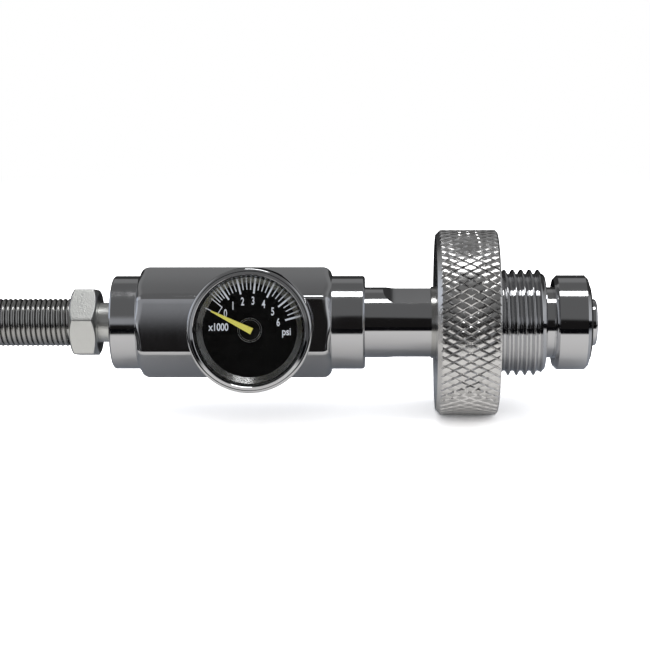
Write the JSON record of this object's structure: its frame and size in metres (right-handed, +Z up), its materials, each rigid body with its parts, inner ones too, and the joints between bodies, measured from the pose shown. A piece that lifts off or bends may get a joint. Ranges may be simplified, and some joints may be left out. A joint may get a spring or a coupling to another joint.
{
  "type": "high-pressure air fill adapter",
  "caption": "Gauge manifold with a screwed cylinder connector, captive knurled handwheel and a crimped microbore fill hose.",
  "frame": {"origin": "on the connector's axis, at the shoulder of the handwheel's thread", "axes": "+X along the connector's axis towards its nose, +Z up, the gauge looks to -Y and a little up"},
  "size_m": [0.2454, 0.0806, 0.04],
  "materials": {
    "chrome": "polished chrome plate",
    "zinc_steel": "pale matte zinc plate",
    "spring_steel": "drawn steel wire",
    "satin_ring": "satin",
    "brass": "machined",
    "bronze": "sintered and drawn bronze",
    "copper": "annealed copper",
    "rubber": "nitrile rubber",
    "hose_black": "smooth black hose cover",
    "lens": "clear polished lens",
    "dial_black": "matte black paint, white marks",
    "pointer_yellow": "yellow paint"
  },
  "bodies": {
    "adapter": {"connector_stem": "chrome", "stem_snap_ring": "spring_steel", "stem_seal_ring": "rubber", "nose_face_ring": "rubber", "sintered_filter": "bronze", "filter_retainer": "chrome", "manifold": "chrome", "gauge_seal_washer": "zinc_steel", "gauge_seal_lip": "rubber", "gauge_socket": "brass", "gauge_socket_nut": "brass", "gauge_case": "chrome", "gauge_bezel": "chrome", "lens_gasket": "rubber", "gauge_lens": "lens", "dial_spacer": "satin_ring", "gauge_dial": "dial_black", "dial_bush": "dial_black", "pressure_tube": "bronze", "hose_port_washer": "copper", "hose_lead": "hose_black", "hose_coil": "hose_black", "hose_tail": "hose_black", "hose_fitting": "zinc_steel", "crimp_ferrule": "zinc_steel", "spring_guard": "spring_steel", "far_hose_fitting": "zinc_steel", "far_crimp_ferrule": "zinc_steel", "far_spring_guard": "spring_steel"},
    "wheel_ring": {"wheel_friction_ring": "rubber"},
    "wheel": {"handwheel": "chrome"},
    "pointer": {"gauge_pointer": "pointer_yellow", "pointer_spindle": "brass"}
  },
  "joints": [
    {"name": "wheel_float", "type": "slide", "parent": "adapter", "child": "wheel_ring", "axis": [1, 0, 0], "range_m": [0, 0.00155]},
    {"name": "wheel_spin", "type": "hinge", "parent": "wheel_ring", "child": "wheel", "pos_m": [-0.0066, 0, 0], "axis": [1, 0, 0], "continuous": true},
    {"name": "pointer_turn", "type": "hinge", "parent": "adapter", "child": "pointer", "pos_m": [-0.0516, -0.02431, 0.00539], "axis": [0, -0.9763, 0.2164], "range_deg": [-138, 0], "stiffness_Nm_per_rad": 0.0001, "springref_deg": 2.86}
  ]
}
